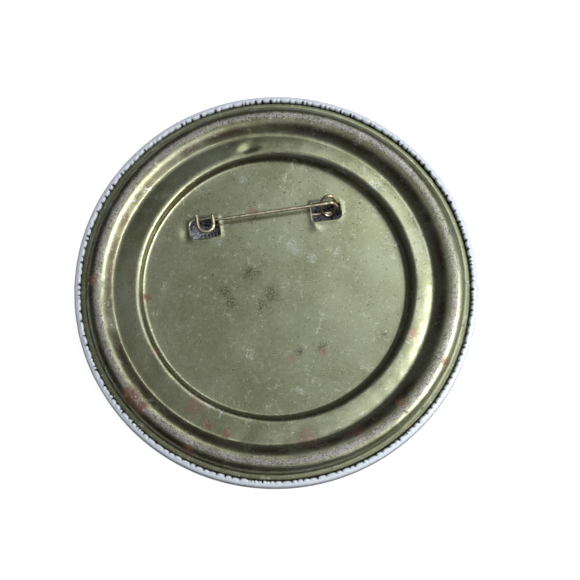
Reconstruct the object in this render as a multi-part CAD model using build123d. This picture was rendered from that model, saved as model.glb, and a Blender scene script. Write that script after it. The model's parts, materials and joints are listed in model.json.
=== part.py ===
from build123d import *
import math
import os

# Round tin button badge with a wire pin, lying face down.
# Frame, in millimetres: the origin is the lowest point of the domed face, +Z runs out of
# the back, +X runs along the pin from its hook to its coil, +Y runs to the badge's top.

# ---- front: dome, side wall and turned-in hem ----
badge_diameter = 100.0
widest_height = 5.0          # where the edge bend of the dome has turned upright
edge_bend_radius = 2.2       # outside radius between the dome and the side wall
side_wall_height = 2.65
hem_radius = 0.65            # outside radius of the turned-in rim
hem_tuck = 1.15              # how far the turned-in edge runs down inside the rim
film_thickness = 0.10
paper_thickness = 0.15
shell_thickness = 0.30

# ---- back plate, from its outer edge inwards ----
plate_thickness = 0.30
flange_width = 1.5           # foot of the plate, under the turned-in edge
wrap_gap = 0.9               # open groove between the turned-in edge and the lip
lip_drop = 0.4               # lip below the top of the rim
lip_width = 0.85
bead_height = 2.3            # crest of the outer bead above the lip
bead_side_run = 0.4          # outward lean of the bead's outer side
bead_top_width = 3.8
bead_inner_run = 3.1
crease_depth = 2.1           # crease below the crest of the outer bead
ring_width = 5.8
ring_rise = 0.9              # the raised ring climbs this much from the crease to its inner edge
wall_run = 1.0
disc_recess = 2.5            # flat centre disc below the ring's inner edge
foot_bend_radius = 0.15
lip_edge_bend_radius = 0.36
lip_root_bend_radius = 0.25
bead_outer_bend_radius = 2.4
bead_inner_bend_radius = 3.6
crease_bend_radius = 1.5
shoulder_bend_radius = 1.6
disc_bend_radius = 1.2

# ---- slots for the wire ----
slot_pitch = 30.8            # centre to centre
slot_length = 7.2
slot_width = 4.7
slot_offset = 17.675          # slots' centre line above the badge's centre
slot_inner_corner = 0.5
slot_outer_corner = 1.0

# ---- pin wire: one wire, bent into arm, coil, base and hook ----
wire_diameter = 0.85
arm_diameter = 0.83          # polished straight part of the arm
arm_neck_length = 2.6        # the wire narrows to that over this run from the arm's root
arm_rise = 2.1               # arm's centre line above the disc
arm_edge_gap = 0.6           # between the arm's side and the slots' upper edge
tip_taper_length = 4.0
tip_radius = 0.1
tip_overlap = 0.6            # the tip reaches this far past the hook's inner leg
joint_clearance = 0.05       # around the ball at the root of the arm
root_run = 0.6               # straight wire between the ball and the top of the coil
cup_length = 0.65            # hollow end of the coil around the ball
coil_radius = 2.0
coil_growth = 0.7            # each turn stands this much taller than the one before
coil_turn_gap = 0.45         # between neighbouring turns
coil_lean_share = 0.45       # share of the pitch that a turn leans for each millimetre of height
coil_turns = 1.5
coil_bends = 8               # bends in each turn
coil_end_gap = 0.4          # between the coil and the outer end of its slot
base_gap = 0.4               # between the base wire and the plate at the hook's end
post_inset = 1.475           # foot of the post inside the slot's upper edge
post_lean = 0.15
post_bend_radius = 0.9
hook_rise = 3.2              # hook's centre line above the disc
hook_inset = 1.2             # hook's inner leg from the inner end of its slot
hook_width = 3.8             # between the centre lines of the hook's legs
hook_reach = 3.0             # hook's loop past the arm's centre line
fold_overhang = 1.6          # fold at the top of the post, on the other side of the arm
end_overhang = 1.5           # free end of the outer leg, on that same side
end_splay = 0.2
end_dip = 0.2
fold_bend_radius = 0.55
loop_side_gap = 0.02         # straight run left between the two bends of the hook's loop

# ---- sizes that follow from those above ----
rim_radius = badge_diameter / 2
hem_start = widest_height + side_wall_height
rim_top = hem_start + hem_radius
hem_foot = hem_start - hem_tuck

lip_edge_radius = rim_radius - 2 * hem_radius - wrap_gap
lip_root_radius = lip_edge_radius - lip_width
bead_outer_radius = lip_root_radius - bead_side_run
bead_inner_radius = bead_outer_radius - bead_top_width
crease_radius = bead_inner_radius - bead_inner_run
ring_inner_radius = crease_radius - ring_width
disc_radius = ring_inner_radius - wall_run
lip_height = rim_top - lip_drop
bead_crest = lip_height + bead_height
crease_height = bead_crest - crease_depth
ring_height = crease_height + ring_rise
disc_height = ring_height - disc_recess

slot_inner_end = slot_pitch / 2 - slot_length / 2
slot_outer_end = slot_pitch / 2 + slot_length / 2
slot_lower_edge = slot_offset - slot_width / 2
slot_upper_edge = slot_offset + slot_width / 2

wire_radius = wire_diameter / 2
arm_radius = arm_diameter / 2
arm_y = slot_upper_edge - arm_edge_gap - wire_radius
arm_z = disc_height + arm_rise
coil_pitch = wire_diameter + coil_turn_gap
coil_lean = coil_lean_share * coil_pitch
coil_x = slot_outer_end - coil_end_gap - wire_radius - coil_radius
coil_top = Vector(coil_x, arm_y, arm_z)
arm_root = coil_top - Vector(root_run, 0, 0)
leg_x = -slot_inner_end - hook_inset
outer_leg_x = leg_x - hook_width
post_x = leg_x + post_lean
hook_z = disc_height + hook_rise
loop_bend_radius = (hook_width - loop_side_gap) / 2
post_foot_z = disc_height - plate_thickness - base_gap - wire_radius


# Turn a half section, drawn as radius and height, about the badge's axis.
def turned(section):
    return revolve(Plane.XZ * section, Axis.Z, 360)


# One side of a front layer, this deep inside the outside of the badge:
# dome, edge bend, upright side, turned-in hem and its end inside the rim.
def front_line(depth):
    edge_r = rim_radius - edge_bend_radius
    hem_r = rim_radius - hem_radius
    dome_radius = (edge_r**2 + widest_height**2 - edge_bend_radius**2) / (
        2 * (widest_height - edge_bend_radius)
    )
    meet = math.degrees(math.atan2(widest_height - dome_radius, edge_r))
    side_r = rim_radius - depth
    tuck_r = rim_radius - 2 * hem_radius + depth
    return [
        CenterArc((0, dome_radius), dome_radius - depth, -90, 90 + meet),
        CenterArc((edge_r, widest_height), edge_bend_radius - depth, meet, -meet),
        Line((side_r, widest_height), (side_r, hem_start)),
        CenterArc((hem_r, hem_start), hem_radius - depth, 0, 180),
        Line((tuck_r, hem_start), (tuck_r, hem_foot)),
    ]


# A layer of the front that starts this deep and is this thick.
def front_layer(depth, thickness):
    outer, inner = front_line(depth), front_line(depth + thickness)
    axis_end = Line((0, depth), (0, depth + thickness))
    hem_end = Line(outer[-1] @ 1, inner[-1] @ 1)
    return turned(make_face(outer + inner + [axis_end, hem_end]))


def clear_film():
    return front_layer(0, film_thickness)


def printed_paper():
    return front_layer(film_thickness, paper_thickness)


def front_shell():
    return front_layer(film_thickness + paper_thickness, shell_thickness)


# The plate's upper surface, as corners with the radius of each bend.
def plate_corners():
    return [
        (disc_radius, disc_height, disc_bend_radius),
        (ring_inner_radius, ring_height, shoulder_bend_radius),
        (crease_radius, crease_height, crease_bend_radius),
        (bead_inner_radius, bead_crest, bead_inner_bend_radius),
        (bead_outer_radius, bead_crest, bead_outer_bend_radius),
        (lip_root_radius, lip_height, lip_root_bend_radius),
        (lip_edge_radius, lip_height, lip_edge_bend_radius),
        (lip_edge_radius, hem_foot, foot_bend_radius),
    ]


# D-ended slot: tight corners towards the badge's middle, wider ones at the outer end.
def slot_cutter(side):
    inner, outer = side * slot_inner_end, side * slot_outer_end
    outline = FilletPolyline(
        (inner, slot_lower_edge),
        (outer, slot_lower_edge),
        (outer, slot_upper_edge),
        (inner, slot_upper_edge),
        radius=[slot_inner_corner, slot_outer_corner, slot_outer_corner, slot_inner_corner],
        close=True,
    )
    cutter = extrude(make_face(outline), plate_thickness, both=True)
    return Pos(0, 0, disc_height) * cutter


# The same bent line moved sideways, to the right of its run, with its bends kept concentric.
def moved_line(ends, corners, distance):
    points = [Vector(*ends[0])] + [Vector(r, z) for r, z, bend in corners] + [Vector(*ends[1])]
    runs = [(b - a).normalized() for a, b in zip(points, points[1:])]
    sides = [Vector(run.Y, -run.X) for run in runs]
    start, end = points[0] + sides[0] * distance, points[-1] + sides[-1] * distance
    moved = []
    for point, before, after, (r, z, bend) in zip(points[1:], sides, sides[1:], corners):
        spot = point + (before + after) * (distance / (1 + before.dot(after)))
        right_turn = before.cross(after).Z < 0
        moved.append((spot.X, spot.Y, bend - distance if right_turn else bend + distance))
    return [start, end], moved


def bent_line(ends, corners):
    points = [ends[0]] + [(r, z) for r, z, bend in corners] + [ends[1]]
    return FilletPolyline(*points, radius=[bend for r, z, bend in corners])


# Pressed plate: recessed disc, wall, sloping ring, crease, outer bead, lip and locking foot.
def back_plate():
    ends = [(0, disc_height), (lip_edge_radius + flange_width, hem_foot)]
    upper = bent_line(ends, plate_corners())
    lower = bent_line(*moved_line(ends, plate_corners(), plate_thickness))
    caps = [Line(upper @ 0, lower @ 0), Line(upper @ 1, lower @ 1)]
    plate = turned(make_face(upper.edges() + lower.edges() + caps))
    for side in (-1, 1):
        plate -= slot_cutter(side)
    return plate


# Bends of the coil, from the root of the arm to its last half turn under the plate.
def coil_corners():
    reach = coil_radius / math.cos(math.pi / coil_bends)
    corners = []
    for k in range(int(coil_turns * coil_bends)):
        turn = (k + 0.5) / coil_bends
        angle = 2 * math.pi * turn
        rise = (reach + coil_growth * turn) * math.cos(angle) - coil_radius
        side = coil_pitch * turn + coil_lean * rise
        corners.append(coil_top + Vector(reach * math.sin(angle), side, rise))
    return corners


# The largest radius that each bend's two runs leave room for.
def full_bends(points):
    bends = []
    for before, here, after in zip(points, points[1:], points[2:]):
        turn = (here - before).get_angle(after - here)
        run = min((here - before).length, (after - here).length)
        bends.append(0.49 * run / math.tan(math.radians(turn / 2)))
    return bends


def wire_along(points, bends):
    path = FilletPolyline(*points, radius=bends) if bends else Line(*points)
    return sweep(Plane(origin=path @ 0, z_dir=path % 0) * Circle(wire_radius), path=path)


# Where the coil's last bend ends and the base wire starts, on the line to the post.
def base_start():
    last = coil_corners()[-1]
    along = (post_foot() - last).normalized()
    return last + along * coil_radius * math.tan(math.pi / coil_bends)


def post_foot():
    return Vector(post_x, slot_upper_edge - post_inset, post_foot_z)


# Where the base wire ends and the hook's bend starts.
def hook_start():
    along = (base_start() - post_foot()).normalized()
    return post_foot() + along * 2 * post_bend_radius


# Coil at the root of the arm: a cup around the arm's ball, then the turns.
def pin_coil():
    corners = coil_corners()
    heading = (corners[0] - arm_root).normalized()
    cup_end = Plane(origin=arm_root, z_dir=heading)
    low_end = (Align.CENTER, Align.CENTER, Align.MIN)
    cup = cup_end * Cylinder(wire_radius, cup_length, align=low_end)
    cup -= Pos(arm_root) * Sphere(wire_radius + joint_clearance)
    points = [arm_root + heading * cup_length] + corners + [base_start()]
    return cup + wire_along(points, full_bends(points))


# Straight run behind the plate, which holds the wire in its two slots.
def pin_base_wire():
    return wire_along([base_start(), hook_start()], None)


# Post through the slot, folded over the arm into a loop that ends in a free leg.
def pin_hook():
    fold = Vector(leg_x, arm_y + fold_overhang, hook_z)
    loop_inner = Vector(leg_x, arm_y - hook_reach, hook_z)
    loop_outer = Vector(outer_leg_x, arm_y - hook_reach, hook_z)
    free_end = Vector(outer_leg_x - end_splay, arm_y + end_overhang, hook_z - end_dip)
    return wire_along(
        [hook_start(), post_foot(), fold, loop_inner, loop_outer, free_end],
        [post_bend_radius, fold_bend_radius, loop_bend_radius, loop_bend_radius],
    )


# Straight arm with a ball and a short neck at its root and a ground point at its tip.
def pin_arm():
    neck_x = arm_root.X - arm_neck_length
    tip_x = leg_x - tip_overlap
    taper_x = tip_x + tip_taper_length
    outline = make_face(
        [
            CenterArc((arm_root.X, 0), wire_radius, 0, 90),
            Line((arm_root.X, wire_radius), (neck_x, arm_radius)),
            Line((neck_x, arm_radius), (taper_x, arm_radius)),
            Line((taper_x, arm_radius), (tip_x, tip_radius)),
            Line((tip_x, tip_radius), (tip_x, 0)),
            Line((tip_x, 0), (arm_root.X + wire_radius, 0)),
        ]
    )
    arm = revolve(outline, Axis.X, 360)
    return Pos(0, arm_y, arm_z) * arm


PIECES = {
    "clear_film": clear_film,
    "printed_paper": printed_paper,
    "front_shell": front_shell,
    "back_plate": back_plate,
    "pin_base_wire": pin_base_wire,
    "pin_coil": pin_coil,
    "pin_hook": pin_hook,
    "pin_arm": pin_arm,
}

os.makedirs("parts", exist_ok=True)
for name, make in PIECES.items():
    export_step(make(), f"parts/{name}.step")
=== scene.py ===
import json
import math
import bpy
import numpy as np
from mathutils import Matrix, Vector, geometry


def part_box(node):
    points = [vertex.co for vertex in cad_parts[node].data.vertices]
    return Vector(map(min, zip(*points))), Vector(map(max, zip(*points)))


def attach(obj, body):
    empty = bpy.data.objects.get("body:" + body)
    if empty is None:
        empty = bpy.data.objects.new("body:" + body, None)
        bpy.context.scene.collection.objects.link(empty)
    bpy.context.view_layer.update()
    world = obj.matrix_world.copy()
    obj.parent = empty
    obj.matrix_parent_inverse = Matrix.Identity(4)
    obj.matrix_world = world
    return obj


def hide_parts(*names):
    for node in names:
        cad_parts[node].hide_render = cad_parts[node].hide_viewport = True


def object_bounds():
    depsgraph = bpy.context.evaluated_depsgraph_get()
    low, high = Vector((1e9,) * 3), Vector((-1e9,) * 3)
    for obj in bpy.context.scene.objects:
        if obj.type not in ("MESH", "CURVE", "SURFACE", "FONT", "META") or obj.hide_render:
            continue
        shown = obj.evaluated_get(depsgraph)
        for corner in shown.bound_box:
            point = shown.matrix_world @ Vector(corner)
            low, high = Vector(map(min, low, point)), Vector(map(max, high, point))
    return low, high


# Lengths in the dictionaries are millimetres in the part's own frame; meshes are in metres.
mm = 0.001
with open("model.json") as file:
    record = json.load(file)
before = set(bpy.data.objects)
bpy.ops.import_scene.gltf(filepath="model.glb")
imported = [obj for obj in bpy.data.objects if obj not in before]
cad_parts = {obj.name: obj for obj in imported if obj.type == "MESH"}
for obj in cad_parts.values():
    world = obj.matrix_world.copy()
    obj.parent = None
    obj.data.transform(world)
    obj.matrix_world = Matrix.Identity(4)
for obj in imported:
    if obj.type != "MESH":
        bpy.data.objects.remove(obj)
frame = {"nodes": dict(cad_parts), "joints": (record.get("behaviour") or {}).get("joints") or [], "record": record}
cadLow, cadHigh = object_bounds()
record = frame["record"]
pinMount = next(m for m in record["mounts"] if m["name"] == "pin_shaft")
pinJoint = frame["joints"][0]
print("frame loaded")


# ---- node helpers ----
class Graph:
    def __init__(self, tree):
        self.tree = tree
        self.nodes = tree.nodes

    def add(self, kind, **settings):
        node = self.nodes.new(kind)
        for key, value in settings.items():
            setattr(node, key, value)
        return node

    def feed(self, socket, value):
        if isinstance(value, bpy.types.NodeSocket):
            self.tree.links.new(value, socket)
        elif value is not None:
            socket.default_value = value

    def calc(self, operation, first, second=None, third=None, clamp=False):
        node = self.add("ShaderNodeMath", operation=operation, use_clamp=clamp)
        for socket, value in zip(node.inputs, (first, second, third)):
            self.feed(socket, value)
        return node.outputs[0]

    def vector(self, operation, first, second=None, scale=None):
        node = self.add("ShaderNodeVectorMath", operation=operation)
        self.feed(node.inputs[0], first)
        self.feed(node.inputs[1], second)
        if scale is not None:
            self.feed(node.inputs["Scale"], scale)
        return node.outputs["Value"] if operation in ("LENGTH", "DISTANCE") else node.outputs["Vector"]

    def noise(self, vector, scale, detail=3.0, rough=0.6, distortion=0.0):
        node = self.add("ShaderNodeTexNoise")
        self.feed(node.inputs["Vector"], vector)
        self.feed(node.inputs["Scale"], scale)
        self.feed(node.inputs["Detail"], detail)
        self.feed(node.inputs["Roughness"], rough)
        self.feed(node.inputs["Distortion"], distortion)
        return node.outputs[0]

    def span(self, value, low, high, toLow=0.0, toHigh=1.0):
        node = self.add("ShaderNodeMapRange", interpolation_type="SMOOTHSTEP")
        for socket, item in zip(node.inputs, (value, low, high, toLow, toHigh)):
            self.feed(socket, item)
        return node.outputs[0]

    def blend(self, factor, first, second):
        node = self.add("ShaderNodeMix", data_type="RGBA")
        self.feed(node.inputs[0], factor)
        self.feed(node.inputs[6], first)
        self.feed(node.inputs[7], second)
        return node.outputs[2]

    def group(self, tree, **values):
        node = self.add("ShaderNodeGroup", node_tree=tree)
        for key, value in values.items():
            self.feed(node.inputs[key], value)
        return node.outputs[0]

    def bump(self, height, strength, distance):
        node = self.add("ShaderNodeBump")
        self.feed(node.inputs["Strength"], strength)
        self.feed(node.inputs["Distance"], distance)
        self.feed(node.inputs["Height"], height)
        return node.outputs[0]


def shared(name, inputs, outputKind, build):
    tree = bpy.data.node_groups.new(name, "ShaderNodeTree")
    for label, kind, value in inputs:
        kind = "NodeSocket" + kind
        socket = tree.interface.new_socket(name=label, in_out="INPUT", socket_type=kind)
        if value is not None:
            socket.default_value = value
    tree.interface.new_socket(name="Result", in_out="OUTPUT", socket_type="NodeSocket" + outputKind)
    graph = Graph(tree)
    source = graph.add("NodeGroupInput")
    sink = graph.add("NodeGroupOutput")
    graph.feed(sink.inputs[0], build(graph, source.outputs))
    return tree


def placeGraph(graph, source):
    coordinates = graph.add("ShaderNodeTexCoord")
    return graph.vector("SCALE", coordinates.outputs["Object"], scale=1000.0)


def speckGraph(graph, source):
    value = graph.noise(source["Place"], source["Scale"], 4.0, 0.7)
    return graph.span(value, source["Level"], graph.calc("ADD", source["Level"], source["Soft"]))


def patchGraph(graph, source):
    away = graph.vector("DISTANCE", source["Place"], source["Middle"])
    ragged = graph.calc("SUBTRACT", graph.noise(source["Place"], source["Scale"], 5.0, 0.7), 0.5)
    edge = graph.calc("ADD", away, graph.calc("MULTIPLY", ragged, source["Break"]))
    return graph.span(edge, source["Size"], graph.calc("MULTIPLY", source["Size"], 0.25))


def bandGraph(graph, source):
    flat = graph.vector("MULTIPLY", source["Place"], (1.0, 1.0, 0.0))
    away = graph.calc("SUBTRACT", graph.vector("LENGTH", flat), source["Radius"])
    return graph.span(graph.calc("ABSOLUTE", away), source["Width"], 0.0)


def hairGraph(graph, source):
    turned = graph.add("ShaderNodeVectorRotate", rotation_type="Z_AXIS")
    graph.feed(turned.inputs["Vector"], source["Place"])
    graph.feed(turned.inputs["Angle"], source["Turn"])
    long = graph.vector("MULTIPLY", turned.outputs[0], (0.11, 1.0, 0.3))
    wander = graph.noise(long, source["Scale"], 2.0, 0.5, 0.25)
    ridge = graph.calc("ABSOLUTE", graph.calc("SUBTRACT", wander, 0.5))
    upper = graph.calc("ADD", source["Level"], 0.1)
    gate = graph.span(graph.noise(source["Place"], 0.35, 3.0, 0.6), source["Level"], upper)
    return graph.calc("MULTIPLY", graph.span(ridge, 0.012, 0.0), gate)


def grainGraph(graph, source):
    coarse = graph.noise(source["Place"], source["Scale"], 4.0, 0.6)
    fine = graph.noise(source["Place"], graph.calc("MULTIPLY", source["Scale"], 6.0), 3.0, 0.7)
    return graph.calc("MULTIPLY_ADD", fine, 0.4, coarse)


vectorIn, numberIn = "Vector", "Float"
placeIn = ("Place", vectorIn, None)
placeMm = shared("placeMm", [], "Vector", placeGraph)
specks = shared(
    "specks", [placeIn, ("Scale", numberIn, 2.0), ("Level", numberIn, 0.6), ("Soft", numberIn, 0.05)],
    "Float", speckGraph,
)
patch = shared(
    "patch",
    [
        placeIn, ("Middle", vectorIn, None), ("Size", numberIn, 1.0),
        ("Break", numberIn, 1.0), ("Scale", numberIn, 0.9),
    ],
    "Float", patchGraph,
)
band = shared("band", [placeIn, ("Radius", numberIn, 40.0), ("Width", numberIn, 1.0)], "Float", bandGraph)
hairs = shared(
    "hairs", [placeIn, ("Turn", numberIn, 0.0), ("Scale", numberIn, 1.2), ("Level", numberIn, 0.5)],
    "Float", hairGraph,
)
grain = shared("grain", [placeIn, ("Scale", numberIn, 1.0)], "Float", grainGraph)


def newMaterial(name):
    material = bpy.data.materials.new(name)
    material.use_nodes = True
    graph = Graph(material.node_tree)
    surface = material.node_tree.nodes["Principled BSDF"]
    return material, graph, surface


def highest(graph, values):
    result = values[0]
    for value in values[1:]:
        result = graph.calc("MAXIMUM", result, value)
    return result


print("shared node groups made")


# ---- mesh helpers ----
def makeObject(name, vertices, faces, material, body, smoothAngle=40.0):
    mesh = bpy.data.meshes.new(name)
    mesh.from_pydata([tuple(v) for v in vertices], [], faces)
    mesh.validate()
    mesh.polygons.foreach_set("use_smooth", [True] * len(mesh.polygons))
    mesh.set_sharp_from_angle(angle=math.radians(smoothAngle))
    mesh.materials.append(material)
    made = bpy.data.objects.new(name, mesh)
    bpy.context.scene.collection.objects.link(made)
    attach(made, body)
    return made


# A bent line through corners of (radius, height, bend), as closely spaced points.
def bentProfile(corners, step):
    points = [np.array(corners[0][:2], float)]
    for index in range(1, len(corners) - 1):
        here = np.array(corners[index][:2], float)
        before = np.array(corners[index - 1][:2], float) - here
        after = np.array(corners[index + 1][:2], float) - here
        before, after = before / np.linalg.norm(before), after / np.linalg.norm(after)
        half = math.acos(float(np.clip(before @ after, -1, 1))) / 2
        bend = corners[index][2]
        centre = here + (before + after) / np.linalg.norm(before + after) * bend / math.sin(half)
        start = here + before * bend / math.tan(half) - centre
        finish = here + after * bend / math.tan(half) - centre
        turn = math.acos(float(np.clip(start @ finish / bend**2, -1, 1)))
        count = max(3, int(math.degrees(turn) / 7))
        for share in np.linspace(0, 1, count):
            spoke = start * math.sin((1 - share) * turn) + finish * math.sin(share * turn)
            points.append(centre + spoke / math.sin(turn))
    points.append(np.array(corners[-1][:2], float))
    spaced = [points[0]]
    for point in points[1:]:
        pieces = max(1, int(np.linalg.norm(point - spaced[-1]) / step))
        begin = spaced[-1]
        spaced += [begin + (point - begin) * (k + 1) / pieces for k in range(pieces)]
    return np.array(spaced)


def profileNormals(points):
    along = np.gradient(points, axis=0)
    along /= np.linalg.norm(along, axis=1)[:, None]
    return np.stack([-along[:, 1], along[:, 0]], 1)


# Faces between neighbouring rings of points, whose counts may differ by a whole factor.
def ringFaces(counts, closedLoop=False):
    starts = np.concatenate([[0], np.cumsum(counts)])
    faces = []
    pairs = list(zip(range(len(counts)), range(1, len(counts))))
    if closedLoop:
        pairs.append((len(counts) - 1, 0))
    for low, high in pairs:
        a, b, na, nb = int(starts[low]), int(starts[high]), counts[low], counts[high]
        coarse = min(na, nb)
        for i in range(coarse):
            lowIds = [a + (i * na // coarse + k) % na for k in range(na // coarse + 1)]
            highIds = [b + (i * nb // coarse + k) % nb for k in range(nb // coarse + 1)]
            faces.append(lowIds + highIds[::-1])
    return faces


# Smooth uneven values over a plane: a sum of waves in random directions.
def unevenness(x, y, wave, seed):
    random = np.random.default_rng(seed)
    total = np.zeros_like(x)
    for k in range(14):
        angle, phase = random.uniform(0, 2 * np.pi, 2)
        length = wave * random.uniform(0.7, 1.6)
        total += np.sin((x * np.cos(angle) + y * np.sin(angle)) * 2 * np.pi / length + phase)
    return total / math.sqrt(14)


# ---- sizes shared by the pieces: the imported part's boxes and mounts, and the bends of its front ----
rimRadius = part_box("clear_film")[1].x / mm
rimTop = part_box("clear_film")[1].z / mm
plateLow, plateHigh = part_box("back_plate")
crestTop = plateHigh.z / mm
pinY = pinMount["pos_m"][1] / mm
rootX = pinJoint["pos_m"][0] / mm
front = {"widest": 5.0, "edgeBend": 2.2, "hem": 0.65, "tuck": 1.15}


# ---- clear film and printed paper, drawn in over the rim in small pleats ----
rim = {
    "pleats": 188, "fine": 1824, "coarse": 228, "seed": 5,
    "lobe": 0.40, "lobeRight": 0.06, "notch": 0.06, "sharpness": 0.36,
    # The last two values on the next line set the painted shade in the gaps between pleats.
    "widths": (0.4, 1.6), "sizes": (0.75, 1.15), "notchShadeDepth": 2.2, "notchShadePower": 1.4,
    "filmDepth": (0.0, 0.075), "paperDepth": (0.10, 0.25), "ripple": 0.012,
}


def frontProfile(depth):
    radius, widest, bend, hem = rimRadius, front["widest"], front["edgeBend"], front["hem"]
    edge = radius - bend
    dome = (edge**2 + widest**2 - bend**2) / (2 * (widest - bend))
    meet = math.atan2(widest - dome, edge)
    hemStart = rimTop - hem
    rows = []
    for angle in np.linspace(-math.pi / 2, meet, 26)[1:]:
        rows.append(((dome - depth) * math.cos(angle), dome + (dome - depth) * math.sin(angle), 0.0))
    for angle in np.linspace(meet, 0, 9)[1:]:
        rows.append((edge + (bend - depth) * math.cos(angle), widest + (bend - depth) * math.sin(angle), 0.0))
    for height in np.linspace(widest, hemStart, 7)[1:]:
        rows.append((radius - depth, height, 0.0))
    for angle in np.linspace(0, math.pi, 19)[1:]:
        fade = np.clip((math.degrees(angle) - 84) / 56, 0, 1)
        fade = fade * fade * (3 - 2 * fade)
        inset, rise = (hem - depth) * math.cos(angle), (hem - depth) * math.sin(angle)
        rows.append((radius - hem + inset, hemStart + rise, fade))
    for height in np.linspace(hemStart, hemStart - front["tuck"], 6)[1:]:
        rows.append((radius - 2 * hem + depth, height, 1.0))
    return np.array(rows)


def pleatShape(theta):
    random = np.random.default_rng(rim["seed"])
    widths = random.uniform(*rim["widths"], rim["pleats"])
    edges = np.concatenate([[0], np.cumsum(widths) / widths.sum() * 2 * np.pi])
    index = np.clip(np.searchsorted(edges, theta, side="right") - 1, 0, rim["pleats"] - 1)
    share = (theta - edges[index]) / (edges[index + 1] - edges[index])
    lobe = (4 * share * (1 - share)) ** rim["sharpness"]
    size = random.uniform(*rim["sizes"], rim["pleats"])[index]
    # A random darkness for each pleat's gap, used only for painted shade.
    depth = random.uniform(0.0, 1.0, rim["pleats"]) ** rim["notchShadePower"] * rim["notchShadeDepth"]
    depth = np.where(share < 0.5, depth[index], depth[(index + 1) % rim["pleats"]])
    right = np.clip(np.cos(theta + 0.25), 0, 1)
    return lobe, size * (rim["lobe"] + rim["lobeRight"] * right), depth


def frontSide(depth):
    profile = frontProfile(depth)
    normals = profileNormals(profile[:, :2])
    rows, notches, counts = [], [], []
    for (radius, height, fade), (normalR, normalZ) in zip(profile, normals):
        fine = height > front["widest"] + 1.0
        count = rim["fine"] if fine else rim["coarse"]
        theta = np.arange(count) * 2 * np.pi / count
        lobe, size, notchShade = pleatShape(theta)
        push = fade * (size * lobe - rim["notch"] * (1 - lobe))
        if fine:
            push = push + rim["ripple"] * (1 - fade) * (np.sin(theta * 61 + 2 * np.sin(theta * 7)) - 1)
        r = radius - normalR * push
        z = height - normalZ * push
        rows.append(np.stack([r * np.cos(theta), r * np.sin(theta), z], 1))
        # How much painted shade each gap between pleats gets, for the paper's colour.
        notches.append(fade**2 * notchShade * (1 - lobe) ** 1.2)
        counts.append(count)
    return rows, notches, counts


def frontLayer(name, depths, material, stoodFor):
    outer, outerNotch, outerCounts = frontSide(depths[0])
    inner, innerNotch, innerCounts = frontSide(depths[1])
    rows, counts = outer + inner[::-1], outerCounts + innerCounts[::-1]
    faces = ringFaces(counts)
    points = np.concatenate(rows) * mm
    total = len(points)
    apexes = np.array([[0, 0, depths[0] * mm], [0, 0, depths[1] * mm]])
    first, last = counts[0], counts[-1]
    faces += [[total, (i + 1) % first, i] for i in range(first)]
    faces += [[total + 1, total - last + i, total - last + (i + 1) % last] for i in range(last)]
    faces = [face[::-1] for face in faces]
    made = makeObject(name, np.concatenate([points, apexes]), faces, material, "badge_body", 60.0)
    # This attribute carries painted shade for the gaps between pleats.
    notch = made.data.attributes.new("notch", "FLOAT", "POINT")
    notchShades = np.concatenate(outerNotch + innerNotch[::-1] + [np.zeros(2)])
    notch.data.foreach_set("value", notchShades.astype(np.float32))
    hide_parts(stoodFor)
    return made


# The side and the front of the paper, below the height where the side begins, are painted a plain grey as shade on
# the side wall, and the front gets the same grey. Where the paper turns in under the rim, and in the gaps between
# pleats, it is painted near black as shade.
paper = {
    "white": (0.84, 0.87, 0.91, 1), "dull": (0.76, 0.80, 0.86, 1), "grime": (0.42, 0.44, 0.46, 1),
    "side": (0.30, 0.31, 0.36, 1), "groove": (0.010, 0.010, 0.009, 1), "notchShade": (0.010, 0.011, 0.010, 1),
    "sideShadeFrom": (7.75, 6.9), "turnedInFrom": (48.75, 48.45), "grooveFrom": (7.5, 6.9),
}


def makePaper():
    material, graph, surface = newMaterial("printedPaper")
    place = graph.group(placeMm)
    height = graph.add("ShaderNodeSeparateXYZ")
    graph.feed(height.inputs[0], place)
    notch = graph.add("ShaderNodeAttribute", attribute_name="notch")
    clouds = graph.noise(place, 0.12, 4.0, 0.6)
    color = graph.blend(clouds, paper["dull"], paper["white"])
    grime = graph.group(specks, Place=place, Scale=1.6, Level=0.6, Soft=0.12)
    color = graph.blend(graph.calc("MULTIPLY", grime, 0.16), color, paper["grime"])
    # Painted shade: the side wall turns grey, and the front below it too.
    color = graph.blend(graph.span(height.outputs["Z"], *paper["sideShadeFrom"]), color, paper["side"])
    # Painted shade: near black where the paper turns in under the rim.
    away = graph.vector("LENGTH", graph.vector("MULTIPLY", place, (1, 1, 0)))
    turnedIn = graph.span(away, *paper["turnedInFrom"])
    groove = graph.calc("MULTIPLY", turnedIn, graph.span(height.outputs["Z"], *paper["grooveFrom"]))
    color = graph.blend(graph.calc("MULTIPLY", groove, 0.92), color, paper["groove"])
    # Painted shade: near black in the gaps between pleats.
    notchShadeMask = graph.calc("MULTIPLY", notch.outputs["Fac"], 2.0, clamp=True)
    color = graph.blend(notchShadeMask, color, paper["notchShade"])
    graph.feed(surface.inputs["Base Color"], color)
    graph.feed(surface.inputs["Roughness"], graph.span(clouds, 0.2, 0.8, 0.55, 0.75))
    fibres = graph.group(grain, Place=place, Scale=2.4)
    graph.feed(surface.inputs["Normal"], graph.bump(fibres, 0.25, 0.00004))
    return frontLayer("printedPaper", rim["paperDepth"], material, "printed_paper")


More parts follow.
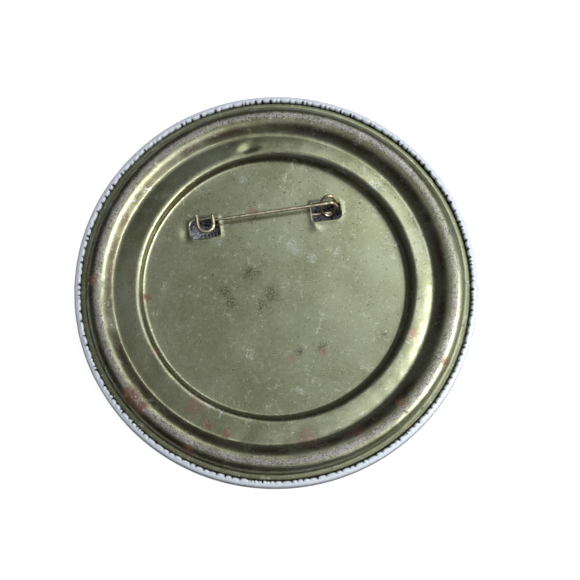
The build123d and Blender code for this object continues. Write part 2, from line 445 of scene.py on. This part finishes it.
def makeFilm():
    material, graph, surface = newMaterial("clearFilm")
    material.node_tree.nodes.remove(surface)
    place = graph.group(placeMm)
    scuffTurns = (0.3, 1.5, 2.5)
    sets = [graph.group(hairs, Place=place, Turn=turn, Scale=1.6, Level=0.5) for turn in scuffTurns]
    scuffs = highest(graph, sets)
    dull = graph.span(graph.noise(place, 0.4, 4.0, 0.6), 0.3, 0.7, 0.10, 0.24)
    bumped = graph.bump(graph.group(grain, Place=place, Scale=0.5), 0.12, 0.00006)
    clear = graph.add("ShaderNodeBsdfTransparent")
    graph.feed(clear.inputs["Color"], (0.99, 0.99, 0.99, 1))
    gloss = graph.add("ShaderNodeBsdfGlossy")
    graph.feed(gloss.inputs["Color"], (1, 1, 1, 1))
    graph.feed(gloss.inputs["Roughness"], graph.calc("MULTIPLY_ADD", scuffs, 0.3, dull))
    graph.feed(gloss.inputs["Normal"], bumped)
    fresnel = graph.add("ShaderNodeFresnel")
    graph.feed(fresnel.inputs["IOR"], 1.5)
    graph.feed(fresnel.inputs["Normal"], bumped)
    side = graph.add("ShaderNodeNewGeometry")
    outside = graph.calc("SUBTRACT", 1.0, side.outputs["Backfacing"])
    share = graph.calc("MULTIPLY", fresnel.outputs[0], outside)
    mixed = graph.add("ShaderNodeMixShader")
    graph.feed(mixed.inputs[0], share)
    graph.feed(mixed.inputs[1], clear.outputs[0])
    graph.feed(mixed.inputs[2], gloss.outputs[0])
    graph.feed(material.node_tree.nodes["Material Output"].inputs["Surface"], mixed.outputs[0])
    return frontLayer("clearFilm", rim["filmDepth"], material, "clear_film")


makePaper()
makeFilm()
print("paper and film made")


# ---- tinplate shell under the paper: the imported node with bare, spotted metal ----
tin = {"color": (0.34, 0.34, 0.37, 1), "pale": (0.78, 0.79, 0.84, 1), "spot": (0.03, 0.03, 0.03, 1)}


def paintShell():
    material, graph, surface = newMaterial("bareTinplate")
    place = graph.group(placeMm)
    color = graph.blend(graph.noise(place, 0.5, 4.0, 0.65), tin["color"], tin["pale"])
    spots = graph.group(specks, Place=place, Scale=1.9, Level=0.50, Soft=0.05)
    color = graph.blend(spots, color, tin["spot"])
    graph.feed(surface.inputs["Base Color"], color)
    surface.inputs["Metallic"].default_value = 0.6
    graph.feed(surface.inputs["Roughness"], graph.calc("MULTIPLY_ADD", spots, 0.35, 0.38))
    graph.feed(surface.inputs["Normal"], graph.bump(graph.group(grain, Place=place, Scale=1.2), 0.3, 0.00005))
    node = frame["nodes"]["front_shell"]
    node.data.materials.clear()
    node.data.materials.append(material)


paintShell()

# ---- back plate ----
# The lip is 0.4 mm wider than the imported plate's and the flange as much shorter.
plate = {
    "thickness": 0.3, "flange": 1.1, "gap": 0.5, "lipDrop": 0.4, "lipWidth": 1.25,
    "sideRun": 0.4, "topWidth": 3.8, "innerRun": 3.1, "creaseDepth": 2.1, "ringWidth": 5.8,
    "ringRise": 0.9, "wallRun": 1.0,
    "segments": 720, "seam": 31.0, "step": 0.42, "cell": 0.62, "jitter": 0.12, "seamGap": 0.35,
    "crown": 0.10, "dome": 0.45, "swell": 0.030, "swellLength": 13.0, "ripple": 0.016, "rippleLength": 4.5,
}
discTop = plateLow.z / mm + plate["thickness"]
lipEdge = rimRadius - 2 * front["hem"] - plate["gap"]
lipRoot = lipEdge - plate["lipWidth"]
beadOuter = lipRoot - plate["sideRun"]
beadInner = beadOuter - plate["topWidth"]
crease = beadInner - plate["innerRun"]
ringInner = crease - plate["ringWidth"]
discEdge = ringInner - plate["wallRun"]
lipHeight = rimTop - plate["lipDrop"]
creaseHeight = crestTop - plate["creaseDepth"]
ringHeight = creaseHeight + plate["ringRise"]
hemFoot = rimTop - front["hem"] - front["tuck"]

# Slots for the wire: a rounded outline with tighter corners towards the badge's middle.
slot = {
    "outer": rootX + 3.425, "length": 7.2, "upper": pinY + 1.025, "width": 4.7,
    "innerCorner": 0.5, "outerCorner": 1.2, "rise": 0.16, "spread": 0.55, "roll": 0.12, "rollSpread": 0.12,
    "grow": (0.0, 0.04, 0.09, 0.16, 0.28, 0.45, 0.7, 1.0, 1.4), "gridGap": 0.25, "pointGap": 0.35,
}

# Knocks: middle x, middle y, half length, half width, turn in degrees, depth (negative is a bulge).
knocks = (
    (-1.6, 36.2, 2.3, 1.3, 20, 0.42), (1.2, 37.6, 1.8, 1.0, -30, -0.14),
    (-4.5, 37.2, 2.0, 1.4, 0, -0.10),
    (-33.0, -14.4, 1.8, 2.6, 25, 0.20), (-30.6, -19.5, 2.0, 1.5, 40, -0.10),
    (28.4, 21.9, 2.4, 1.3, -45, 0.12),
    (-2.0, -37.6, 4.0, 1.6, 5, 0.22), (8.5, -37.0, 4.5, 1.5, -8, -0.16), (-12.0, -35.5, 3.5, 1.5, 20, 0.12),
    (33.6, -6.0, 1.6, 4.0, 0, 0.10), (20.0, -30.0, 4.0, 2.0, -50, 0.10), (-36.0, 6.0, 1.3, 3.5, 5, 0.08),
    (-20.2, 17.2, 1.2, 1.9, 0, 0.26), (-15.0, 14.6, 1.6, 0.6, 0, -0.10), (9.0, 22.0, 5.0, 1.6, 10, 0.06),
    (3.0, -8.0, 7.0, 5.0, 30, 0.10), (-9.0, -20.0, 6.0, 4.0, -20, -0.09), (18.0, -4.0, 5.0, 8.0, 10, 0.08),
)

# A fold that runs down from the coil's slot, and a stretch of the crease that bulges.
fold = {
    "x": 11.9, "y": 14.3, "towardX": 0.78, "towardY": 0.62, "rise": 0.34,
    "halfWidth": 0.8, "length": 1.3, "start": 0.6,
}
bulge = {"heading": -92, "reach": 32, "rise": 0.22, "radius": 39.9, "halfWidth": 1.6}

# How far each ring of the pressing sits off centre: base radius, x, y.
offCentre = np.array([
    (0, 0, 0), (30.0, 0, 0), (discEdge, -0.21, 0.30), (ringInner, 0.30, 0.35), (36.5, 0.05, 0.12),
    (crease, -0.66, 0.10), (beadInner, -0.25, 0), (beadOuter, 0, 0), (lipEdge - 0.6, -0.2, 0),
    (lipEdge + 0.1, -0.2, 0), (lipEdge + 1.1, 0, 0), (60, 0, 0),
])


def slotDistance(x, y, side):
    halfLength, halfWidth = slot["length"] / 2, slot["width"] / 2
    u = side * x - (slot["outer"] - halfLength)
    v = y - (slot["upper"] - halfWidth)
    corner = np.where(u > 0, slot["outerCorner"], slot["innerCorner"])
    du, dv = np.abs(u) - halfLength + corner, np.abs(v) - halfWidth + corner
    outside = np.hypot(np.maximum(du, 0), np.maximum(dv, 0))
    return outside + np.minimum(np.maximum(du, dv), 0) - corner


def slotOutline(side, grow):
    halfLength, halfWidth = slot["length"] / 2, slot["width"] / 2
    points = []
    for signU, signV, start in ((1, 1, 0), (-1, 1, 90), (-1, -1, 180), (1, -1, 270)):
        corner = slot["outerCorner"] if signU > 0 else slot["innerCorner"]
        for angle in np.radians(np.linspace(start, start + 90, 9)):
            points.append((
                signU * (halfLength - corner) + (corner + grow) * math.cos(angle),
                signV * (halfWidth - corner) + (corner + grow) * math.sin(angle),
            ))
    dense = []
    for (ax, ay), (bx, by) in zip(points, points[1:] + points[:1]):
        pieces = max(1, int(math.hypot(bx - ax, by - ay) / slot["pointGap"]))
        dense += [(ax + (bx - ax) * k / pieces, ay + (by - ay) * k / pieces) for k in range(pieces)]
    outline = [(side * (u + slot["outer"] - halfLength), v + slot["upper"] - halfWidth) for u, v in dense]
    return outline if side > 0 else outline[::-1]


# Height added to the pressed plate at a place, from knocks, slot rims and general unevenness.
def plateRelief(x, y):
    radius, theta = np.hypot(x, y), np.arctan2(y, x)
    rise = plate["swell"] * unevenness(x, y, plate["swellLength"], 11) * np.clip((radius - 22) / 12, 0.35, 1)
    ripples = unevenness(x, y, plate["rippleLength"], 12)
    rise += plate["ripple"] * ripples * np.clip((radius - 31) / 4, 0.12, 1)
    middle, half = (ringInner + crease) / 2, plate["ringWidth"] / 2
    rise += plate["dome"] * (1 - (np.minimum(radius, plate["seam"]) / plate["seam"]) ** 2)
    rise += plate["crown"] * np.clip(1 - ((radius - middle) / half) ** 2, 0, 1)
    for knockX, knockY, halfLength, halfWidth, turn, depth in knocks:
        c, s = math.cos(math.radians(turn)), math.sin(math.radians(turn))
        u = ((x - knockX) * c + (y - knockY) * s) / halfLength
        v = (-(x - knockX) * s + (y - knockY) * c) / halfWidth
        rise -= depth * np.exp(-u * u - v * v)
    near = np.exp(-((np.degrees(theta) - bulge["heading"]) / bulge["reach"]) ** 2)
    rise += bulge["rise"] * near * np.exp(-((radius - bulge["radius"]) / bulge["halfWidth"]) ** 2)
    for side in (-1, 1):
        away = np.maximum(slotDistance(x, y, side), 0)
        rise += slot["rise"] * np.exp(-((away - 0.25) / slot["spread"]) ** 2)
        rise -= slot["roll"] * np.exp(-(away / slot["rollSpread"]) ** 2)
    foldU, foldV = x - fold["x"], y - fold["y"]
    across = foldU * fold["towardX"] + foldV * fold["towardY"]
    along = -foldU * fold["towardY"] + foldV * fold["towardX"]
    ridge = np.exp(-np.abs(across) / fold["halfWidth"])
    rise += fold["rise"] * ridge * np.exp(-((along + fold["start"]) / fold["length"]) ** 2)
    return rise


def warped(points):
    x, y = points[:, 0], points[:, 1]
    radius = np.hypot(x, y)
    moved = points.copy()
    moved[:, 0] += np.interp(radius, offCentre[:, 0], offCentre[:, 1])
    moved[:, 1] += np.interp(radius, offCentre[:, 0], offCentre[:, 2])
    fade = np.clip((lipEdge + 0.3 - radius) / 1.5, 0, 1)
    moved[:, 2] += plateRelief(x, y) * fade
    return moved


def plateLathe():
    corners = [
        (plate["seam"], discTop, 0), (discEdge, discTop, 1.2), (ringInner, ringHeight, 1.6),
        (crease, creaseHeight, 1.5), (beadInner, crestTop, 3.6),
        (beadOuter, crestTop, 2.4), (lipRoot, lipHeight, 0.25), (lipEdge, lipHeight, 0.36),
        (lipEdge, hemFoot, 0.15), (lipEdge + plate["flange"], hemFoot, 0),
    ]
    upper = bentProfile(corners, plate["step"])
    lower = (upper - profileNormals(upper) * plate["thickness"])[::-1]
    return np.concatenate([upper, lower])


def discPoints():
    seamCount = plate["segments"]
    theta = np.arange(seamCount) * 2 * np.pi / seamCount
    points = [(plate["seam"] * math.cos(t), plate["seam"] * math.sin(t)) for t in theta]
    edges = [(i, (i + 1) % seamCount) for i in range(seamCount)]
    rims = []
    for side in (-1, 1):
        for grow in slot["grow"]:
            outline = slotOutline(side, grow)
            start = len(points)
            points += outline
            edges += [(start + i, start + (i + 1) % len(outline)) for i in range(len(outline))]
            if grow == 0:
                rims.append((start, len(outline)))
    cell = plate["cell"]
    jitter = np.random.default_rng(3)
    steps = np.arange(-plate["seam"], plate["seam"], cell)
    gridX, gridY = np.meshgrid(steps, steps)
    gridX = gridX + (np.arange(len(steps)) % 2)[:, None] * cell / 2
    gridX = gridX + jitter.uniform(-plate["jitter"], plate["jitter"], gridX.shape)
    gridY = gridY + jitter.uniform(-plate["jitter"], plate["jitter"], gridY.shape)
    keep = np.hypot(gridX, gridY) < plate["seam"] - plate["seamGap"]
    for side in (-1, 1):
        keep &= slotDistance(gridX, gridY, side) > slot["grow"][-1] + slot["gridGap"]
    points += list(zip(gridX[keep], gridY[keep]))
    return points, edges, rims


def makePlate(material):
    profile = plateLathe()
    count = plate["segments"]
    theta = np.arange(count) * 2 * np.pi / count
    rings = [
        np.stack([r * np.cos(theta), r * np.sin(theta), np.full(count, z)], 1) for r, z in profile
    ]
    latheFaces = [face[::-1] for face in ringFaces([count] * len(rings))]
    flat, edges, rims = discPoints()
    made = geometry.delaunay_2d_cdt([Vector(p) for p in flat], edges, [], 0, 1e-6)
    corners = np.array([tuple(v) for v in made[0]])
    triangles = np.array([list(f) for f in made[2]])
    middle = corners[triangles].mean(axis=1)
    solid = np.ones(len(triangles), bool)
    for side in (-1, 1):
        solid &= slotDistance(middle[:, 0], middle[:, 1], side) > 0
    triangles = triangles[solid]
    first, second, third = (corners[triangles[:, k]] for k in range(3))
    spin = np.cross(second - first, third - first)
    triangles[spin < 0] = triangles[spin < 0][:, ::-1]
    used = len(corners)
    top = np.column_stack([corners, np.full(used, discTop)])
    bottom = top - [0, 0, plate["thickness"]]
    base = len(rings) * count
    points = np.concatenate([np.concatenate(rings), top, bottom])
    faces = latheFaces + (triangles + base).tolist() + (triangles[:, ::-1] + base + used).tolist()
    origin = {original: new for new, originals in enumerate(made[3]) for original in originals}
    for start, length in rims:
        for i in range(length):
            a, b = origin[start + i], origin[start + (i + 1) % length]
            faces.append([base + b, base + a, base + used + a, base + used + b])
    points = warped(points)
    obj = makeObject("backPlate", points * mm, faces, material, "badge_body", 38.0)
    weld = obj.modifiers.new("weld", "WELD")
    weld.merge_threshold = 0.00001
    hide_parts("back_plate")
    return obj


# Patches: middle x, y and z, and size.
lacquer = {
    # The brownish colour on this line is painted shade for the bead's flanks and the bottom of the wall.
    "deep": (0.27, 0.28, 0.15, 1), "pale": (0.37, 0.385, 0.25, 1), "shadeBrown": (0.085, 0.05, 0.025, 1),
    "crest": (0.48, 0.43, 0.45, 1), "crestDark": (0.075, 0.045, 0.055, 1), "pink": (0.42, 0.22, 0.18, 1),
    "rust": (0.20, 0.075, 0.04, 1), "fleck": (0.90, 0.90, 0.80, 1), "pit": (0.055, 0.035, 0.02, 1),
    # The near-black colour on this line is painted shade in the gap under the rim.
    "lip": (0.11, 0.11, 0.06, 1), "groove": (0.012, 0.011, 0.008, 1),
    "scuff": (0.72, 0.75, 0.80, 1), "roughness": 0.33, "coatRoughness": 0.33, "metal": 0.96,
    "rustAt": (
        (-38.9, -22.2, 9.9, 3.4), (-36.6, -25.6, 9.9, 2.6), (-31.8, 2.4, 6.6, 1.5), (-27.0, -38.2, 9.6, 2.4),
        (-21.5, -32.3, 8.8, 1.7), (-17.0, -35.0, 8.8, 1.6), (-44.6, 8.0, 9.6, 2.2), (38.8, -26.0, 9.6, 2.4),
        (26.0, -34.0, 9.6, 1.8),
    ),
    "pinkAt": (
        (2.0, -39.2, 9.2, 3.4), (8.9, -17.9, 6.6, 1.5), (1.4, -18.3, 6.6, 1.3), (14.0, -39.0, 9.6, 3.0),
        (-24.0, -27.0, 9.0, 3.0), (31.5, -17.0, 9.1, 2.0), (-3.0, 20.5, 6.6, 1.6), (-31.0, -12.0, 8.9, 1.6),
    ),
    "spot": (0.05, 0.026, 0.02, 1),
    "spotAt": (
        (-11.4, -2.2, 6.7, 2.6), (-1.3, -1.5, 6.7, 3.2), (-5.5, 4.3, 6.7, 2.6), (9.2, -17.1, 6.6, 2.0),
        (25.0, -15.8, 6.6, 1.3), (-2.7, 18.9, 6.6, 2.0), (-4.0, -4.2, 6.7, 2.4), (-12.6, 0.8, 6.7, 1.8),
        (3.5, -17.1, 6.6, 1.6),
    ),
    "scuffAt": (
        (5.2, 10.2, 6.6, 2.2), (10.2, 6.3, 6.6, 2.0), (6.2, 8.6, 6.6, 1.6), (16.4, 6.8, 6.6, 1.5),
        (-12.3, 13.4, 6.6, 1.5), (28.4, 21.9, 9.1, 2.0), (-4.0, 29.0, 6.6, 1.5),
    ),
    "hairs": ((0.5, 1.1, 0.55), (1.9, 0.9, 0.56), (2.7, 1.3, 0.58)),
}


def patches(graph, place, spots, ragged, scale):
    return highest(graph, [
        graph.group(patch, Place=place, Middle=spot[:3], Size=spot[3], Break=ragged, Scale=scale)
        for spot in spots
    ])


# Lacquer in two tones, with brownish painted shade on the bead's flanks (the outer flank on the left side only)
# and at the bottom of the wall, darker at the lip, and near-black painted shade in the gap under the rim.
def lacquerTonesAndShade(graph, place, fineClouds, lip, groove):
    clouds = graph.noise(place, 0.07, 4.0, 0.6)
    tone = graph.calc("MULTIPLY_ADD", fineClouds, 0.35, graph.calc("MULTIPLY", clouds, 0.65))
    color = graph.blend(graph.span(tone, 0.35, 0.65), lacquer["deep"], lacquer["pale"])
    axes = graph.add("ShaderNodeSeparateXYZ")
    graph.feed(axes.inputs[0], place)
    # Painted shade: the bead's outer flank is darkened only towards the left side, away from the light.
    shadedLeft = graph.span(axes.outputs["X"], 15.0, -25.0, 0.05, 1.0)
    outerSlopeShade = graph.group(band, Place=place, Radius=beadOuter - 0.5, Width=1.4)
    slopeShade = highest(graph, [
        graph.group(band, Place=place, Radius=beadInner - 1.4, Width=1.9),
        graph.calc("MULTIPLY", outerSlopeShade, shadedLeft),
    ])
    share = graph.span(graph.noise(place, 0.10, 3.0, 0.6), 0.34, 0.58, 0.25, 0.85)
    color = graph.blend(graph.calc("MULTIPLY", slopeShade, share), color, lacquer["shadeBrown"])
    # Painted shade: brownish at the bottom of the wall.
    footShade = graph.group(band, Place=place, Radius=ringInner - 0.35, Width=0.8)
    color = graph.blend(graph.calc("MULTIPLY", footShade, 0.7), color, lacquer["shadeBrown"])
    color = graph.blend(graph.calc("MULTIPLY", lip, 0.75), color, lacquer["lip"])
    # Painted shade: near black in the gap under the rim.
    return graph.blend(graph.span(groove, 0.0, 0.35), color, lacquer["groove"])


# Places where the bead's crest and the ring's shoulder are rubbed bare.
def wornMask(graph, place, crestBand):
    shoulder = graph.group(band, Place=place, Radius=ringInner + 0.7, Width=1.5)
    raised = highest(graph, [crestBand, graph.calc("MULTIPLY", shoulder, 0.55)])
    drift = graph.calc("SUBTRACT", graph.noise(place, 0.13, 3.0, 0.6), 0.5)
    reach = graph.calc("ADD", raised, graph.calc("MULTIPLY", drift, 0.9))
    worn = graph.calc("MULTIPLY_ADD", reach, 0.45, graph.noise(place, 2.1, 5.0, 0.75))
    return graph.calc("MULTIPLY", graph.span(worn, 0.80, 0.92), graph.span(raised, 0.02, 0.2))


# Pink and rust stains, flecks, pits, dark spots, scuffs and scratches, laid over the color.
def markedColor(graph, place, color, rust, pits, scratched):
    pink = patches(graph, place, lacquer["pinkAt"], 3.2, 0.8)
    color = graph.blend(graph.calc("MULTIPLY", pink, 0.55), color, lacquer["pink"])
    color = graph.blend(rust, color, lacquer["rust"])
    flecks = graph.group(specks, Place=place, Scale=2.2, Level=0.635, Soft=0.025)
    color = graph.blend(graph.calc("MULTIPLY", flecks, 0.85), color, lacquer["fleck"])
    color = graph.blend(graph.calc("MULTIPLY", pits, 0.8), color, lacquer["pit"])
    grains = graph.group(specks, Place=place, Scale=1.9, Level=0.47, Soft=0.05)
    spotted = graph.calc("MULTIPLY", patches(graph, place, lacquer["spotAt"], 5.0, 0.5), grains)
    color = graph.blend(graph.calc("MULTIPLY", spotted, 0.7), color, lacquer["spot"])
    rubbed = graph.group(specks, Place=place, Scale=2.6, Level=0.50, Soft=0.08)
    scuffed = graph.calc("MULTIPLY", patches(graph, place, lacquer["scuffAt"], 3.4, 0.9), rubbed)
    color = graph.blend(graph.calc("MULTIPLY", scuffed, 0.75), color, lacquer["scuff"])
    return graph.blend(graph.calc("MULTIPLY", scratched, 0.75), color, lacquer["fleck"])


def lacquerMaterial():
    material, graph, surface = newMaterial("lacqueredTinplate")
    place = graph.group(placeMm)
    fineClouds = graph.noise(place, 0.9, 4.0, 0.7)
    lip = graph.group(band, Place=place, Radius=lipEdge - 0.1, Width=1.1)
    # This band carries the near-black painted shade in the gap under the rim, and more roughness.
    groove = graph.group(band, Place=place, Radius=lipEdge + 0.95, Width=1.1)
    color = lacquerTonesAndShade(graph, place, fineClouds, lip, groove)

    crestBand = graph.group(band, Place=place, Radius=beadInner + 1.5, Width=1.8)
    worn = wornMask(graph, place, crestBand)
    color = graph.blend(graph.calc("MULTIPLY", worn, 0.6), color, lacquer["crest"])
    dots = graph.group(specks, Place=place, Scale=2.9, Level=0.53, Soft=0.04)
    darkDots = graph.calc("MULTIPLY", dots, graph.span(crestBand, 0.05, 0.5))
    color = graph.blend(graph.calc("MULTIPLY", darkDots, 0.8), color, lacquer["crestDark"])

    rust = graph.calc("MULTIPLY", patches(graph, place, lacquer["rustAt"], 3.6, 0.7), 0.8)
    pitPlace = graph.vector("ADD", place, (31.0, 17.0, 5.0))
    pits = graph.group(specks, Place=pitPlace, Scale=1.5, Level=0.615, Soft=0.03)
    scratched = highest(graph, [
        graph.group(hairs, Place=place, Turn=turn, Scale=scale, Level=level)
        for turn, scale, level in lacquer["hairs"]
    ])
    graph.feed(surface.inputs["Base Color"], markedColor(graph, place, color, rust, pits, scratched))
    graph.feed(surface.inputs["Metallic"], graph.calc("MULTIPLY_ADD", rust, -0.6, lacquer["metal"]))
    rough = graph.calc("MULTIPLY_ADD", fineClouds, 0.16, lacquer["roughness"] - 0.08)
    for mask, more in ((worn, 0.12), (rust, 0.35), (highest(graph, [lip, groove]), 0.25)):
        rough = graph.calc("MULTIPLY_ADD", mask, more, rough)
    graph.feed(surface.inputs["Roughness"], rough)
    graph.feed(surface.inputs["Coat Weight"], graph.span(lip, 0.8, 0.2, 0.0, 0.35))
    surface.inputs["Coat Roughness"].default_value = lacquer["coatRoughness"]
    height = graph.calc("MULTIPLY", graph.group(grain, Place=place, Scale=1.3), 0.5)
    for mask, rise in ((scratched, -0.3), (worn, 0.35), (pits, -0.8)):
        height = graph.calc("MULTIPLY_ADD", mask, rise, height)
    graph.feed(surface.inputs["Normal"], graph.bump(height, 0.35, 0.00005))
    return material


makePlate(lacquerMaterial())
print("back plate made")

# ---- pin wire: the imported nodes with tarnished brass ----
brass = {
    "bright": (0.88, 0.80, 0.60, 1), "dull": (0.58, 0.48, 0.30, 1), "dark": (0.12, 0.09, 0.05, 1),
    "roughness": 0.33,
}


def paintWire():
    material, graph, surface = newMaterial("pinWire")
    place = graph.group(placeMm)
    clouds = graph.span(graph.noise(place, 0.8, 4.0, 0.65), 0.35, 0.65)
    color = graph.blend(clouds, brass["dull"], brass["bright"])
    tarnish = graph.group(specks, Place=place, Scale=1.7, Level=0.56, Soft=0.10)
    color = graph.blend(graph.calc("MULTIPLY", tarnish, 0.7), color, brass["dark"])
    drawn = graph.noise(graph.vector("MULTIPLY", place, (0.15, 6.0, 6.0)), 2.0, 2.0, 0.5)
    graph.feed(surface.inputs["Base Color"], color)
    surface.inputs["Metallic"].default_value = 1.0
    rough = graph.calc("MULTIPLY_ADD", drawn, 0.15, brass["roughness"] - 0.07)
    graph.feed(surface.inputs["Roughness"], graph.calc("MULTIPLY_ADD", tarnish, 0.25, rough))
    height = graph.calc("ADD", drawn, graph.group(grain, Place=place, Scale=2.5))
    graph.feed(surface.inputs["Normal"], graph.bump(height, 0.25, 0.00003))
    for name in ("pin_base_wire", "pin_coil", "pin_hook", "pin_arm"):
        node = frame["nodes"][name]
        node.data.materials.clear()
        node.data.materials.append(material)


paintWire()
print("pin wire painted")

# ---- floor, light and camera ----
studio = {
    "distance": 420.0, "tilt": 14.7, "heading": -93.4, "roll": -8.6, "lens": 105.1, "sensor": 36.0,
    "aimHeight": 7.0, "shiftX": 0.0248, "shiftY": -0.0050,
    "worldColor": (0.80, 0.86, 1.0, 1), "worldStrength": 0.07, "floorGlow": 1.0,
    "floorHalf": 1.5,
}


def aimed(direction, roll):
    back = Vector(direction).normalized()
    up = Vector((0, 1, 0)) - back * back.y
    up.normalize()
    right = up.cross(back)
    turnedRight = right * math.cos(roll) + up * math.sin(roll)
    turnedUp = up * math.cos(roll) - right * math.sin(roll)
    return Matrix((turnedRight, turnedUp, back)).transposed().to_4x4()


def addCamera():
    tilt, heading = math.radians(studio["tilt"]), math.radians(studio["heading"])
    back = Vector((math.sin(tilt) * math.cos(heading), math.sin(tilt) * math.sin(heading), math.cos(tilt)))
    data = bpy.data.cameras.new("camera")
    data.lens, data.sensor_width = studio["lens"], studio["sensor"]
    data.shift_x, data.shift_y = studio["shiftX"], studio["shiftY"]
    data.clip_start, data.clip_end = 0.01, 10
    camera = bpy.data.objects.new("camera", data)
    place = Vector((0, 0, studio["aimHeight"] * mm)) + back * studio["distance"] * mm
    camera.matrix_world = Matrix.Translation(place) @ aimed(back, math.radians(studio["roll"]))
    bpy.context.scene.collection.objects.link(camera)
    bpy.context.scene.camera = camera


# Soft boxes: name, heading and angle from straight up in degrees, distance, width, height, watts, color.
softBoxes = (
    ("sideBox", -16.0, 42.0, 0.62, 0.20, 0.34, 2.5, (0.97, 1.0, 1.04)),
    ("ceiling", 0.0, 0.0, 0.90, 0.90, 0.90, 0.78, (0.97, 1.0, 1.05)),
    ("upperBox", 50.0, 32.0, 0.70, 0.30, 0.30, 0.75, (0.97, 1.0, 1.04)),
    ("lowerBox", -50.0, 30.0, 0.70, 0.35, 0.35, 0.50, (0.97, 1.0, 1.04)),
    ("lowBox", -5.0, 62.0, 0.70, 0.40, 0.50, 0.75, (0.97, 1.0, 1.04)),
)


def addLights():
    for name, heading, fall, distance, width, height, watts, color in softBoxes:
        a, f = math.radians(heading), math.radians(fall)
        back = Vector((math.sin(f) * math.cos(a), math.sin(f) * math.sin(a), math.cos(f)))
        data = bpy.data.lights.new(name, "AREA")
        data.shape, data.size, data.size_y = "RECTANGLE", width, height
        data.energy, data.color = watts, color
        light = bpy.data.objects.new(name, data)
        light.matrix_world = Matrix.Translation(back * distance) @ aimed(back, 0)
        bpy.context.scene.collection.objects.link(light)


def addFloor():
    material, graph, surface = newMaterial("paleFloor")
    place = graph.group(placeMm)
    shade = graph.blend(graph.noise(place, 0.02, 2.0, 0.5), (0.90, 0.90, 0.90, 1), (0.94, 0.94, 0.94, 1))
    graph.feed(surface.inputs["Base Color"], (0.55, 0.55, 0.55, 1))
    graph.feed(surface.inputs["Roughness"], 0.9)
    graph.feed(surface.inputs["Emission Color"], shade)
    path = graph.add("ShaderNodeLightPath")
    glow = graph.calc("MULTIPLY", path.outputs["Is Camera Ray"], studio["floorGlow"])
    graph.feed(surface.inputs["Emission Strength"], glow)
    half = studio["floorHalf"]
    mesh = bpy.data.meshes.new("floor")
    corners = [(-half, -half, 0), (half, -half, 0), (half, half, 0), (-half, half, 0)]
    mesh.from_pydata(corners, [], [(0, 1, 2, 3)])
    mesh.materials.append(material)
    floor = bpy.data.objects.new("floor", mesh)
    floor.location.z = cadLow.z - 0.0001
    bpy.context.scene.collection.objects.link(floor)


def addWorld():
    world = bpy.data.worlds.new("world")
    world.use_nodes = True
    background = world.node_tree.nodes["Background"]
    background.inputs["Color"].default_value = studio["worldColor"]
    background.inputs["Strength"].default_value = studio["worldStrength"]
    bpy.context.scene.world = world


addCamera()
addLights()
addFloor()
addWorld()
bpy.context.scene.view_settings.view_transform = "Standard"
print("floor, light and camera set")
